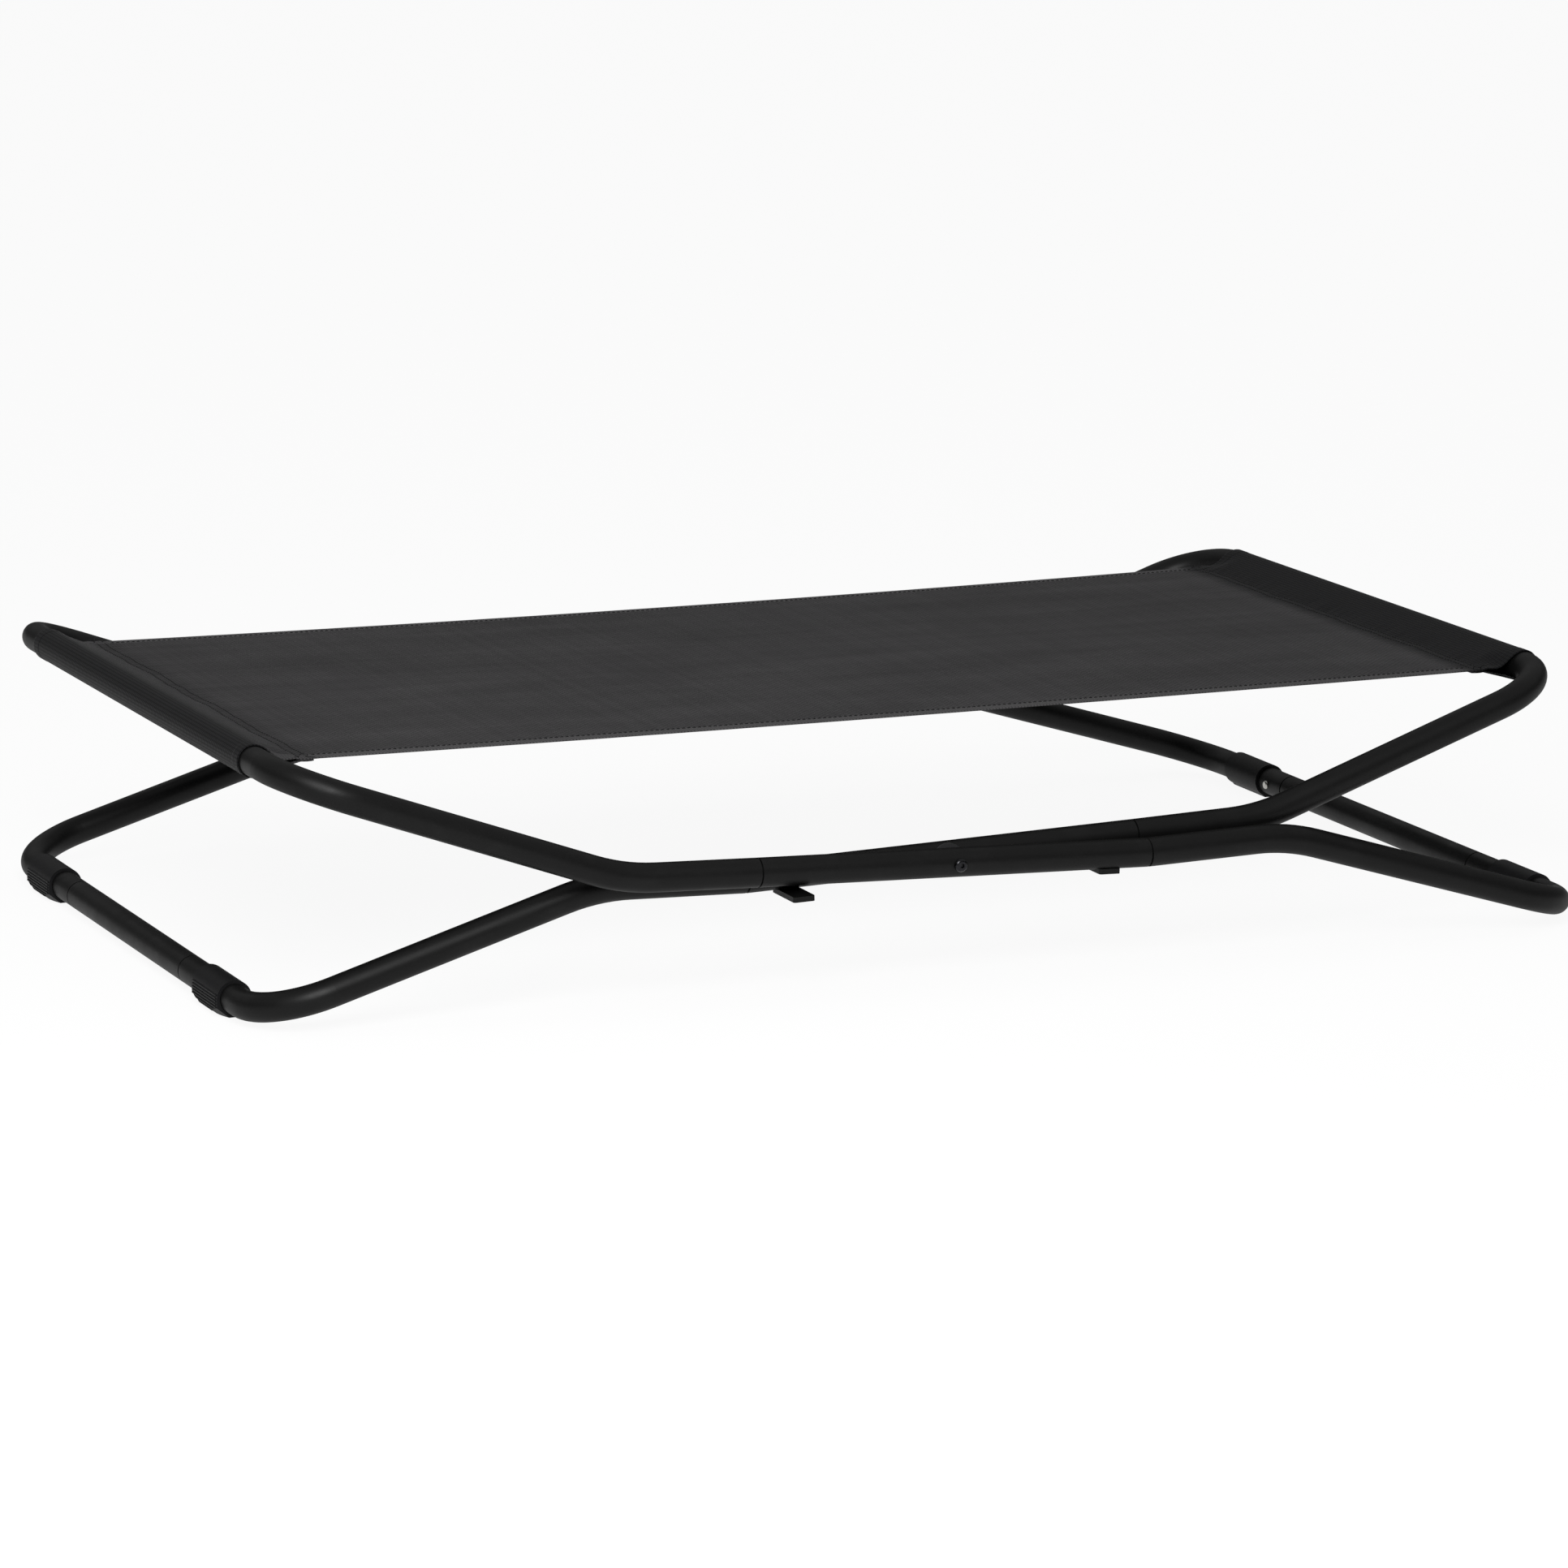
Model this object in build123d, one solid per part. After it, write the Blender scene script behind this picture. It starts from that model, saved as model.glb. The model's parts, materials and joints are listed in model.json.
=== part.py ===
"""Folding raised dog bed: two crossing frames of bent tube with a mesh sling between their top bars.

Millimetres. The origin is on the floor under the pivot, +X along the bed, +Z up.
The outer frame has its top bar at -X and its lower bar at +X. The inner frame is the mirror image.
"""
import os
from math import asin, cos, hypot, radians, sin, tan

from build123d import *

os.makedirs("parts", exist_ok=True)

# Tube
TUBE_R = 11.0
TUBE_WALL = 1.2
TUBE_RI = TUBE_R - TUBE_WALL
CORNER_R = 54.0
KNEE_R = 160.0

# Side view of one frame, as distances from the pivot's vertical plane and heights above the floor
PIVOT_Z = 92.1
RAIL_TILT = 1.7
RAIL_HALF = 157.5
UPPER_KNEE = (263.0, 100.4)
LOWER_KNEE = (274.0, 90.7)
TOP_BAR = (517.0, 191.0)
LOW_BAR = (528.5, 14.0)

# Plan view
OUTER_Y = 329.0
TUBE_GAP = 2.5
INNER_Y = OUTER_Y - 2 * TUBE_R - TUBE_GAP
LEG_REACH = 167.0
RAIL_SEAM = 0.6
BAR_SEAM = 0.8

# Joiner plugs
PLUG_R = TUBE_RI - 0.15
PLUG_BORE_R = 7.0
PLUG_REACH = 28.0
PLUG_BEND_R = 120.0

# Foot collars
COLLAR_R = 13.4
COLLAR_BORE_R = TUBE_R + 0.05
COLLAR_LEN = 58.0
COLLAR_FROM_SEAM = 40.0
PAD_INNER = 4.0
PAD_ROUND = 8.0
PAD_RAMP = 17.0
PAD_RAMP_TILT = 50.0
RIB_R = 0.8
RIB_STEP = 2.2
RIB_COUNT = 7
RIB_LOWEST = 3.6

# Joint screws of the lower bars
SCREW_R = 1.75
SCREW_LEN = 9.0
SCREW_HEAD_R = 3.4
SCREW_HEAD_H = 1.8
SCREW_FROM_SEAM = 25.0

# Pivot
BOLT_R = 3.0
BOLT_CLEAR = 0.05
BOLT_HEAD_R = 5.0
BOLT_HEAD_H = 3.2
BOLT_SOCKET_R = 2.0
WASHER_R = 12.2
WASHER_T = 2.1
NUT_AF = 10.0
NUT_H = 6.0
BODY_GAP = 0.3

# Stop tabs
TAB_X = 125.0
TAB_W = 17.0
TAB_T = 4.0
TAB_RISE = 1.0

# Sling
SLING_HALF = 250.0
SLING_T = 1.0
SLING_Z = 189.5
SLEEVE_RI = TUBE_R + 0.3
SLEEVE_RO = SLEEVE_RI + SLING_T
SLEEVE_TAPER = 32.0
SLEEVE_TAIL = 45.0
STITCH_W = 0.9
STITCH_H = 0.4
STITCH_AT = (35.0, 41.5)


def unit(v):
    """Vector of length one."""
    return v * (1.0 / v.length)


def bent_path(points, radii):
    """Wire through the points, with each inner corner rounded to its radius."""
    pts = [Vector(*p) for p in points]
    edges = []
    start = pts[0]
    for before, corner, after, radius in zip(pts, pts[1:], pts[2:], radii):
        back = unit(before - corner)
        ahead = unit(after - corner)
        half = radians(back.get_angle(ahead)) / 2
        run = radius / tan(half)
        bisector = unit(back + ahead)
        middle = corner + bisector * (radius / sin(half) - radius)
        edges.append(Line(start, corner + back * run))
        edges.append(ThreePointArc(corner + back * run, middle, corner + ahead * run))
        start = corner + ahead * run
    edges.append(Line(start, pts[-1]))
    return Wire(edges)


def tube_along(path, radius=TUBE_R, bore_r=TUBE_RI):
    """Hollow round tube along a wire."""
    end = Plane(origin=path @ 0, z_dir=path % 0)
    return sweep(end * Circle(radius), path=path) - sweep(end * Circle(bore_r), path=path)


def rod(start, end, radius):
    """Solid round rod between two points."""
    a, b = Vector(*start), Vector(*end)
    return extrude(Plane(origin=a, z_dir=unit(b - a)) * Circle(radius), (b - a).length)


def seam_point(side_x, upper):
    """Rail seam in side view: side_x is -1 or +1, upper tells which half of the frame it is on."""
    rise = RAIL_HALF * tan(radians(RAIL_TILT))
    return (side_x * RAIL_HALF, PIVOT_Z + (rise if upper else -rise))


def towards(a, b, distance):
    """Point at a distance from a on the way to b."""
    a, b = Vector(*a), Vector(*b)
    return tuple(a + unit(b - a) * distance)


def rail(top_side, y):
    """Straight middle rail with the pivot hole across it."""
    x0, z0 = seam_point(top_side, True)
    x1, z1 = seam_point(-top_side, False)
    a, b = (x0, y, z0), (x1, y, z1)
    path = Wire([Line(towards(a, b, RAIL_SEAM), towards(b, a, RAIL_SEAM))])
    hole = rod((0, y - 2 * TUBE_R, PIVOT_Z), (0, y + 2 * TUBE_R, PIVOT_Z), BOLT_R + BOLT_CLEAR)
    return tube_along(path) - hole


def leg(side_x, y, upper):
    """Bent leg: from the rail seam over the knee and round the corner to the cross bar's seam."""
    seam_x, seam_z = seam_point(side_x, upper)
    knee_x, knee_z = UPPER_KNEE if upper else LOWER_KNEE
    bar_x, bar_z = TOP_BAR if upper else LOW_BAR
    inwards = -1 if y > 0 else 1
    seam = (seam_x, y, seam_z)
    knee = (side_x * knee_x, y, knee_z)
    corner = (side_x * bar_x, y, bar_z)
    end = (side_x * bar_x, y + inwards * (LEG_REACH - BAR_SEAM), bar_z)
    path = bent_path([towards(seam, knee, RAIL_SEAM), knee, corner, end], [KNEE_R, CORNER_R])
    tube = tube_along(path)
    if not upper:
        tube -= screw_hole(side_x, y)
    return tube


def screw_axis(side_x, leg_y):
    """Point on the lower bar's axis where the joint screw goes in, on the leg at leg_y."""
    inwards = -1 if leg_y > 0 else 1
    return (side_x * LOW_BAR[0], leg_y + inwards * (LEG_REACH - SCREW_FROM_SEAM), LOW_BAR[1])


def screw_hole(side_x, leg_y):
    """Hole for the joint screw, from the bar's axis towards the middle of the bed."""
    x, y, z = screw_axis(side_x, leg_y)
    return rod((x, y, z), (x - side_x * 2 * TUBE_R, y, z), SCREW_R + BOLT_CLEAR)


def joint_screw(side_x, leg_y):
    """Pan head screw on the inward face of the lower bar."""
    x, y, z = screw_axis(side_x, leg_y)
    seat = x - side_x * TUBE_R
    shank = rod((seat + side_x * SCREW_LEN, y, z), (seat, y, z), SCREW_R)
    head = rod((seat, y, z), (seat - side_x * SCREW_HEAD_H, y, z), SCREW_HEAD_R)
    head = fillet(head.edges().sort_by(Axis.X)[0 if side_x > 0 else -1], 1.2)
    return shank + head


def cross_bar(side_x, half_width, upper):
    """Straight middle tube of a cross bar."""
    bar_x, bar_z = TOP_BAR if upper else LOW_BAR
    reach = half_width - LEG_REACH - BAR_SEAM
    x = side_x * bar_x
    return tube_along(Wire([Line((x, -reach, bar_z), (x, reach, bar_z))]))


def plug(path):
    """Hollow joiner plug along a wire through a seam."""
    return tube_along(path, PLUG_R, PLUG_BORE_R)


def rail_plugs(top_side, half_width):
    """The four joiners of a frame's side rails."""
    plugs = []
    for side_y in (-1, 1):
        for side_x, upper in ((top_side, True), (-top_side, False)):
            x, z = seam_point(side_x, upper)
            y = side_y * half_width
            knee_x, knee_z = UPPER_KNEE if upper else LOWER_KNEE
            seam = (x, y, z)
            in_rail = towards(seam, (0, y, PIVOT_Z), PLUG_REACH)
            in_leg = towards(seam, (side_x * knee_x, y, knee_z), PLUG_REACH)
            plugs.append(plug(bent_path([in_rail, seam, in_leg], [PLUG_BEND_R])))
    return Compound(children=plugs)


def bar_plugs(top_side, half_width):
    """The four joiners of a frame's cross bars, those of the lower bar drilled for the screws."""
    plugs = []
    for side_y in (-1, 1):
        for side_x, upper in ((top_side, True), (-top_side, False)):
            bar_x, bar_z = TOP_BAR if upper else LOW_BAR
            x = side_x * bar_x
            y = side_y * (half_width - LEG_REACH)
            one = plug(Wire([Line((x, y - PLUG_REACH, bar_z), (x, y + PLUG_REACH, bar_z))]))
            if not upper:
                one -= screw_hole(side_x, side_y * half_width)
            plugs.append(one)
    return Compound(children=plugs)


def collar_face(over):
    """Outer face of a foot collar, as its distance from the bar's axis at a height over the axis."""
    round_at = PAD_ROUND - LOW_BAR[1]
    if over > 0:
        return (COLLAR_R**2 - over**2) ** 0.5
    if over > round_at:
        return COLLAR_R
    return COLLAR_R - PAD_ROUND + (PAD_ROUND**2 - (over - round_at) ** 2) ** 0.5


def pad_ramp(side_x, end, way):
    """What is cut away at one end of a foot, so that its pad rises out of the round collar.

    The cut is a plane that touches the collar at the end and leaves the pad's corner whole
    at a ramp's length from it. The point end is on the bar's axis, and way is -1 or +1 along Y.
    """
    tilt = radians(PAD_RAMP_TILT)
    corner = (COLLAR_R - PAD_ROUND) * cos(tilt) + (LOW_BAR[1] - PAD_ROUND) * sin(tilt) + PAD_ROUND
    out = Vector(side_x * cos(tilt), 0, -sin(tilt))
    normal = unit(out * PAD_RAMP + Vector(0, way, 0) * (corner + RIB_R - COLLAR_R))
    face = Plane(origin=Vector(*end) + out * COLLAR_R, z_dir=normal)
    return extrude(face * Rectangle(4 * COLLAR_LEN, 4 * COLLAR_LEN), COLLAR_R)


def foot(side_x, leg_y):
    """Foot collar: sleeve on the lower bar, upright and ribbed on the outside, flat underneath."""
    x, z = side_x * LOW_BAR[0], LOW_BAR[1]
    inwards = -1 if leg_y > 0 else 1
    y0 = leg_y + inwards * (LEG_REACH - COLLAR_FROM_SEAM)
    y1 = y0 - inwards * COLLAR_LEN
    start = min(y0, y1)
    pad = Polygon(
        (COLLAR_R, 0), (COLLAR_R, PAD_ROUND - z), (COLLAR_R - PAD_ROUND, -z),
        (-PAD_INNER, -z), (-COLLAR_R * cos(radians(20)), -COLLAR_R * sin(radians(20))), (0, 0),
        align=None,
    )
    section = Circle(COLLAR_R) + pad + Pos(COLLAR_R - PAD_ROUND, PAD_ROUND - z) * Circle(PAD_ROUND)
    plane = Plane(origin=(x, start, z), x_dir=(side_x, 0, 0), z_dir=(0, -side_x, 0))
    body = extrude(plane * section, COLLAR_LEN, dir=(0, 1, 0))
    for i in range(RIB_COUNT):
        rib_z = RIB_LOWEST + i * RIB_STEP
        rib_x = x + side_x * collar_face(rib_z - z)
        body += rod((rib_x, start + 2, rib_z), (rib_x, start + COLLAR_LEN - 2, rib_z), RIB_R)
    for end_y, way in ((start, -1), (start + COLLAR_LEN, 1)):
        body -= pad_ramp(side_x, (x, end_y, z), way)
    return body - rod((x, start - 1, z), (x, start + COLLAR_LEN + 1, z), COLLAR_BORE_R)


def stop_tab(side_x, side_y, own_y, other_y):
    """Flat tab welded under one rail and reaching below the other one."""
    own, other = side_y * own_y, side_y * other_y
    away = 1 if own > other else -1
    y0, y1 = own + away * 6.0, other - away * TUBE_R
    drop = TAB_X * tan(radians(RAIL_TILT))
    at = (side_x * TAB_X, 0, PIVOT_Z - drop)
    tilt = Location(at, (0, side_x * RAIL_TILT, 0))
    plate = Box(TAB_W, abs(y1 - y0), TAB_T)
    plate = Pos(0, (y0 + y1) / 2, -TUBE_R + TAB_RISE - TAB_T / 2) * plate
    plate = fillet(plate.edges().filter_by(Axis.Z), 2.0)
    weld_face = Pos(0, own, 0) * Rot(0, 90, 0) * Cylinder(TUBE_R, 4 * TAB_W)
    return tilt * (plate - weld_face)


def pivot_bolt(side_y):
    """Bolt through both rails, with a low round head outside and a socket in it."""
    head_y = side_y * (OUTER_Y + TUBE_R)
    nut_y = side_y * (INNER_Y - TUBE_R - BODY_GAP)
    tip_y = nut_y - side_y * (NUT_H + 1.5)
    shank = rod((0, head_y, PIVOT_Z), (0, tip_y, PIVOT_Z), BOLT_R)
    head = rod((0, head_y, PIVOT_Z), (0, head_y + side_y * BOLT_HEAD_H, PIVOT_Z), BOLT_HEAD_R)
    rim = head.edges().sort_by(Axis.Y)[-1 if side_y > 0 else 0]
    head = fillet(rim, 2.2)
    top_y = head_y + side_y * BOLT_HEAD_H
    socket = Plane(origin=(0, top_y, PIVOT_Z), z_dir=(0, -side_y, 0)) * RegularPolygon(BOLT_SOCKET_R, 6)
    return shank + head - extrude(socket, 1.8)


def pivot_washer(side_y):
    """Spacer washer between the two rails."""
    y0 = side_y * (OUTER_Y - TUBE_R)
    y1 = y0 - side_y * WASHER_T
    ring = rod((0, y0, PIVOT_Z), (0, y1, PIVOT_Z), WASHER_R)
    return ring - rod((0, y0 + side_y, PIVOT_Z), (0, y1 - side_y, PIVOT_Z), BOLT_R + BOLT_CLEAR)


def pivot_nut(side_y):
    """Hexagon lock nut on the bolt's inner end."""
    y0 = side_y * (INNER_Y - TUBE_R - BODY_GAP)
    face = Plane(origin=(0, y0, PIVOT_Z), z_dir=(0, -side_y, 0))
    body = extrude(face * RegularPolygon(NUT_AF / 2, 6, major_radius=False), NUT_H)
    return body - rod((0, y0 + side_y, PIVOT_Z), (0, y0 - side_y * (NUT_H + 1), PIVOT_Z), BOLT_R + 0.02)


def tangent_points(radius, far_u, far_top, far_bottom):
    """Tangent points, above and below, of a circle seen from two points at the same distance."""
    found = []
    for far_v, turn in ((far_top, 1), (far_bottom, -1)):
        angle = asin(far_v / hypot(far_u, far_v)) + turn * (radians(90) - asin(radius / hypot(far_u, far_v)))
        found.append((radius * cos(angle), radius * sin(angle)))
    return found


def drop_shape(radius, far_u, middle_v, half_t):
    """Section of a sleeve: a circle round the bar that tapers to a flat end."""
    above, below = tangent_points(radius, far_u, middle_v + half_t, middle_v - half_t)
    taper = Polygon(
        (0, 0), below, (far_u, middle_v - half_t), (far_u, middle_v + half_t), above, align=None
    )
    return Circle(radius) + taper


def sleeve_plane(side_x, y):
    """Section plane of a top bar, with its first axis towards the middle of the bed."""
    return Plane(origin=(side_x * TOP_BAR[0], y, TOP_BAR[1]), x_dir=(-side_x, 0, 0), z_dir=(0, side_x, 0))


def sleeve(side_x):
    """Sewn sleeve: mesh round the top bar, sewn to the sheet along a flat tail."""
    middle = SLING_Z - TOP_BAR[1]
    outer = drop_shape(SLEEVE_RO, SLEEVE_TAPER, middle, SLING_T)
    width = SLEEVE_TAIL - SLEEVE_TAPER + 1.0
    outer += Pos(SLEEVE_TAIL - width / 2, middle) * Rectangle(width, 2 * SLING_T)
    inner = drop_shape(SLEEVE_RI, SLEEVE_TAPER - 2.0, middle, 0.1)
    plane = sleeve_plane(side_x, -side_x * SLING_HALF)
    return extrude(plane * (outer - inner), 2 * SLING_HALF)


def stitching(side_x):
    """Two rows of thread on a sleeve's flat tail."""
    rows = []
    for at in STITCH_AT:
        x = side_x * (TOP_BAR[0] - at)
        z = SLING_Z + SLING_T + STITCH_H / 2
        rows.append(Pos(x, 0, z) * Box(STITCH_W, 2 * SLING_HALF - 8, STITCH_H))
    return Compound(children=rows)


def sheet():
    """Taut mesh sheet between the two sleeves."""
    length = 2 * (TOP_BAR[0] - SLEEVE_TAIL - BODY_GAP)
    return Pos(0, 0, SLING_Z) * Box(length, 2 * SLING_HALF, SLING_T)


def frame_parts(name, top_side, half_width, other_width):
    """All the tubes, joiners, feet, screws and tabs of one frame, by node name."""
    low_side = -top_side
    parts = {
        f"{name}_top_bar": cross_bar(top_side, half_width, True),
        f"{name}_low_bar": cross_bar(low_side, half_width, False),
        f"{name}_rail_plugs": rail_plugs(top_side, half_width),
        f"{name}_bar_plugs": bar_plugs(top_side, half_width),
        f"{name}_low_screws": Compound(
            children=[joint_screw(low_side, s * half_width) for s in (-1, 1)]
        ),
    }
    for side_y, end in ((-1, "near"), (1, "far")):
        y = side_y * half_width
        parts[f"{name}_rail_{end}"] = rail(top_side, y)
        parts[f"{name}_top_leg_{end}"] = leg(top_side, y, True)
        parts[f"{name}_low_leg_{end}"] = leg(low_side, y, False)
        parts[f"{name}_foot_{end}"] = foot(low_side, y)
        parts[f"{name}_stop_tab_{end}"] = stop_tab(low_side, side_y, half_width, other_width)
    return parts


nodes = frame_parts("outer", -1, OUTER_Y, INNER_Y)
nodes.update(frame_parts("inner", 1, INNER_Y, OUTER_Y))
for side, place in ((-1, "near"), (1, "far")):
    nodes[f"pivot_bolt_{place}"] = pivot_bolt(side)
    nodes[f"pivot_washer_{place}"] = pivot_washer(side)
    nodes[f"pivot_nut_{place}"] = pivot_nut(side)
nodes["sling_sheet"] = sheet()
for side, place in ((-1, "left"), (1, "right")):
    nodes[f"{place}_sleeve"] = sleeve(side)
    nodes[f"{place}_stitching"] = stitching(side)

for node, shape in nodes.items():
    export_step(shape, f"parts/{node}.step")
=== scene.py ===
"""Looks of a folding raised dog bed: two crossing frames of bent tube and the mesh sling between them.

Metres, in the CAD model's frame: +X along the bed, +Z up, the origin on the floor under the pivot.
"""

import json
import logging
from dataclasses import dataclass
from enum import Enum
from math import pi, radians
from typing import Any

import bpy
import numpy as np
from mathutils import Euler, Matrix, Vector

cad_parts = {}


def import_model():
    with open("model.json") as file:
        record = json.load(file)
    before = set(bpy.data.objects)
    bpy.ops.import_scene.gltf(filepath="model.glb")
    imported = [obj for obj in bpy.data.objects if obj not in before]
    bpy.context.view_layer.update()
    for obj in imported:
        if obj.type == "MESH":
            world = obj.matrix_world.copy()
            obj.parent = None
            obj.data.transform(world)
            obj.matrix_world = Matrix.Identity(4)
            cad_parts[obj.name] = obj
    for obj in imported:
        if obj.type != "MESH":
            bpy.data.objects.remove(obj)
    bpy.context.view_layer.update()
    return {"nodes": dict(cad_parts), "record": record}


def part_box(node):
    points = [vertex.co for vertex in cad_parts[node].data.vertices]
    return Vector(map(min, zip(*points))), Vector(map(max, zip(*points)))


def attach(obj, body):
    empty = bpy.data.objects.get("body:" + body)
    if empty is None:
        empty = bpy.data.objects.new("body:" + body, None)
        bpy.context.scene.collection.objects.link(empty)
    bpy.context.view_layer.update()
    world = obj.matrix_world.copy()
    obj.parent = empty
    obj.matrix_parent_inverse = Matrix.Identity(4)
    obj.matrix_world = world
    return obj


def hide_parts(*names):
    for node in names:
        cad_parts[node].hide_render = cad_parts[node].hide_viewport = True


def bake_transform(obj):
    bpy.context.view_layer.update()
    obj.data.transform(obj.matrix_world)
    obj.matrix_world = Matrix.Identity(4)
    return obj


LOG = logging.getLogger("dog_bed")
MM = 0.001
CLOTH_UV = "cloth"
# point attribute with the share of painted shade on doubled cloth
DOUBLED_SHADE = "doubled"
HEMMED = "hemmed"

# Sockets of Blender's mix node that carry colours
MIX_FIRST = 6
MIX_SECOND = 7
MIX_RESULT = 2

Place = tuple[float, float, float]
Pair = tuple[float, float]


class Slot(Enum):
    """Material slots of the part's record."""

    TUBE = "tube"
    TAB = "tab"
    JOINER = "joiner"
    FOOT = "foot"
    SCREW = "screw"
    BOLT = "bolt"
    WASHER = "washer"
    NUT = "nut"
    MESH = "mesh"
    THREAD = "thread"


class Body(Enum):
    """Moving bodies of the CAD model."""

    OUTER = "outer_frame"
    INNER = "inner_frame"


class End(Enum):
    """The two ends of the bed, by the sign of X, with the body that carries the top bar there."""

    LEFT = -1
    RIGHT = 1

    @property
    def body(self) -> Body:
        """Body whose top bar the sleeve at this end goes round."""
        return Body.OUTER if self is End.LEFT else Body.INNER

    @property
    def word(self) -> str:
        """Word for this end in the names of nodes and pieces."""
        return self.name.lower()


# Numbers


def linear(code: str) -> tuple[float, float, float, float]:
    """Turns an sRGB hex colour into linear light by the sRGB curve.

    Args:
        code: Colour as #rrggbb.
    Returns:
        Red, green, blue and an alpha of 1 for a colour socket.
    """
    srgb = np.array([int(code[i:i + 2], 16) for i in (1, 3, 5)]) / 255.0
    light = np.where(srgb <= 0.04045, srgb / 12.92, ((srgb + 0.055) / 1.055) ** 2.4)
    return (float(light[0]), float(light[1]), float(light[2]), 1.0)


def smooth_step(x: np.ndarray, low: float, high: float) -> np.ndarray:
    """Rises from 0 at low to 1 at high with level ends: t squared times (3 - 2 t)."""
    t = np.clip((x - low) / (high - low), 0.0, 1.0)
    return t * t * (3.0 - 2.0 * t)


def wave(place: np.ndarray, length_mm: float, phase: float) -> np.ndarray:
    """Sine wave along a line, one full turn for each length, moved on by the phase in radians."""
    return np.sin(2 * pi * place / (length_mm * MM) + phase)


def together(*parts: np.ndarray) -> np.ndarray:
    """Arrays brought to one shape and set side by side along a new last axis."""
    return np.stack(np.broadcast_arrays(*parts), axis=-1)


# Shader nodes


def add_node(
    tree: bpy.types.NodeTree, kind: str, inputs: dict[Any, Any] | None = None, **settings: Any
) -> bpy.types.Node:
    """Adds one shader node with its settings, values and links.

    Args:
        tree: Node tree of a material or a world.
        kind: Blender's type name of the node.
        inputs: Socket names or numbers with a value, or with the output socket that feeds them.
        settings: Properties of the node itself.
    Returns:
        The new node.
    """
    node = tree.nodes.new(kind)
    for name, value in settings.items():
        setattr(node, name, value)
    feed(tree, node, inputs or {})
    return node


def feed(tree: bpy.types.NodeTree, node: bpy.types.Node, inputs: dict[Any, Any]) -> None:
    """Sets or links inputs of a node.

    Args:
        tree: Node tree of the node.
        node: Node to feed.
        inputs: Socket names or numbers with a value, or with the output socket that feeds them.
    """
    for socket, value in inputs.items():
        if isinstance(value, bpy.types.NodeSocket):
            tree.links.new(value, node.inputs[socket])
        else:
            node.inputs[socket].default_value = value


def maths(tree: bpy.types.NodeTree, operation: str, *values: Any) -> bpy.types.NodeSocket:
    """Result of one operation on numbers or sockets."""
    return add_node(tree, "ShaderNodeMath", dict(enumerate(values)), operation=operation).outputs[0]


def rescale(
    tree: bpy.types.NodeTree, value: bpy.types.NodeSocket, before: Pair, after: Pair
) -> bpy.types.NodeSocket:
    """Value carried in a straight line from one range to another, and held at the ends."""
    return add_node(tree, "ShaderNodeMapRange", {
        "Value": value, "From Min": before[0], "From Max": before[1],
        "To Min": after[0], "To Max": after[1]}).outputs[0]


def mix_colours(
    tree: bpy.types.NodeTree, share: bpy.types.NodeSocket, first: Any, second: Any
) -> bpy.types.NodeSocket:
    """Colour from the first to the second as the share rises, each a hex colour or a socket."""
    ends = [linear(end) if isinstance(end, str) else end for end in (first, second)]
    return add_node(tree, "ShaderNodeMix", {
        "Factor": share, MIX_FIRST: ends[0], MIX_SECOND: ends[1]}, data_type="RGBA").outputs[MIX_RESULT]


def noise(
    tree: bpy.types.NodeTree, place: bpy.types.NodeSocket, size_mm: float, detail: float,
    roughness: float = 0.5
) -> bpy.types.NodeSocket:
    """Cloudy noise from 0 to 1 whose patches are about as large as the size."""
    return add_node(tree, "ShaderNodeTexNoise", {
        "Vector": place, "Scale": 1.0 / (size_mm * MM), "Detail": detail,
        "Roughness": roughness}).outputs["Fac"]


def bumps(
    tree: bpy.types.NodeTree, height: bpy.types.NodeSocket, strength: float, depth_mm: float
) -> bpy.types.NodeSocket:
    """Normals of a surface that rises by the depth where the height is 1."""
    return add_node(tree, "ShaderNodeBump", {
        "Height": height, "Strength": strength, "Distance": depth_mm * MM}).outputs[0]


# Meshes


def grid_faces(rows: int, cols: int, first: int = 0, flip: bool = False) -> np.ndarray:
    """Quads of a grid of points numbered row by row.

    Args:
        rows: Points along the first parameter.
        cols: Points along the second parameter.
        first: Number of the grid's first point.
        flip: True turns the quads over.
    Returns:
        Whole numbers, four a quad.
    """
    at = first + np.arange(rows * cols).reshape(rows, cols)
    quads = np.stack([at[:-1, :-1], at[1:, :-1], at[1:, 1:], at[:-1, 1:]], axis=-1).reshape(-1, 4)
    return quads[:, ::-1] if flip else quads


def shell_faces(rows: int, cols: int) -> list[np.ndarray]:
    """Quads of two equal grids, one over the other, closed by a strip along each of the four edges.

    Args:
        rows: Points along the first parameter.
        cols: Points along the second parameter.
    Returns:
        Arrays of quads. The upper grid's points come first, and then the lower grid's.
    """
    at = np.arange(rows * cols).reshape(rows, cols)
    faces = [grid_faces(rows, cols), grid_faces(rows, cols, at.size, flip=True)]
    for edge, flip in ((at[:, 0], False), (at[:, -1], True), (at[0], True), (at[-1], False)):
        strip = np.stack([edge[:-1], edge[:-1] + at.size, edge[1:] + at.size, edge[1:]], axis=1)
        faces.append(strip[:, ::-1] if flip else strip)
    return faces


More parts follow.
